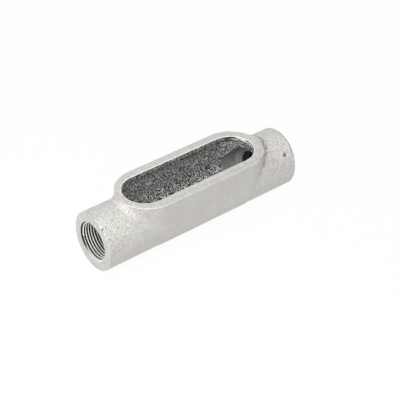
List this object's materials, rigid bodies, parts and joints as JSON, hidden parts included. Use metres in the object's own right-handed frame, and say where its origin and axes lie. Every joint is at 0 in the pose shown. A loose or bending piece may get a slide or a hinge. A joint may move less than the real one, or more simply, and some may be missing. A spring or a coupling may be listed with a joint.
{
  "type": "conduit body",
  "caption": "Straight-through cast iron conduit body: long open wiring chamber with a flat cover rim on top and a tapered threaded hub at each end.",
  "frame": {"origin": "middle of the base, under the centre of the overall box, on the surface the part lies on", "axes": "+X along the two hubs, +Z out of the cover opening"},
  "size_m": [0.148, 0.0424, 0.0414],
  "materials": {
    "cast_body": "fine cast texture under a thin light grey coating, bare and darker inside"
  },
  "bodies": {
    "root": {"conduit_body": "cast_body"}
  },
  "joints": []
}
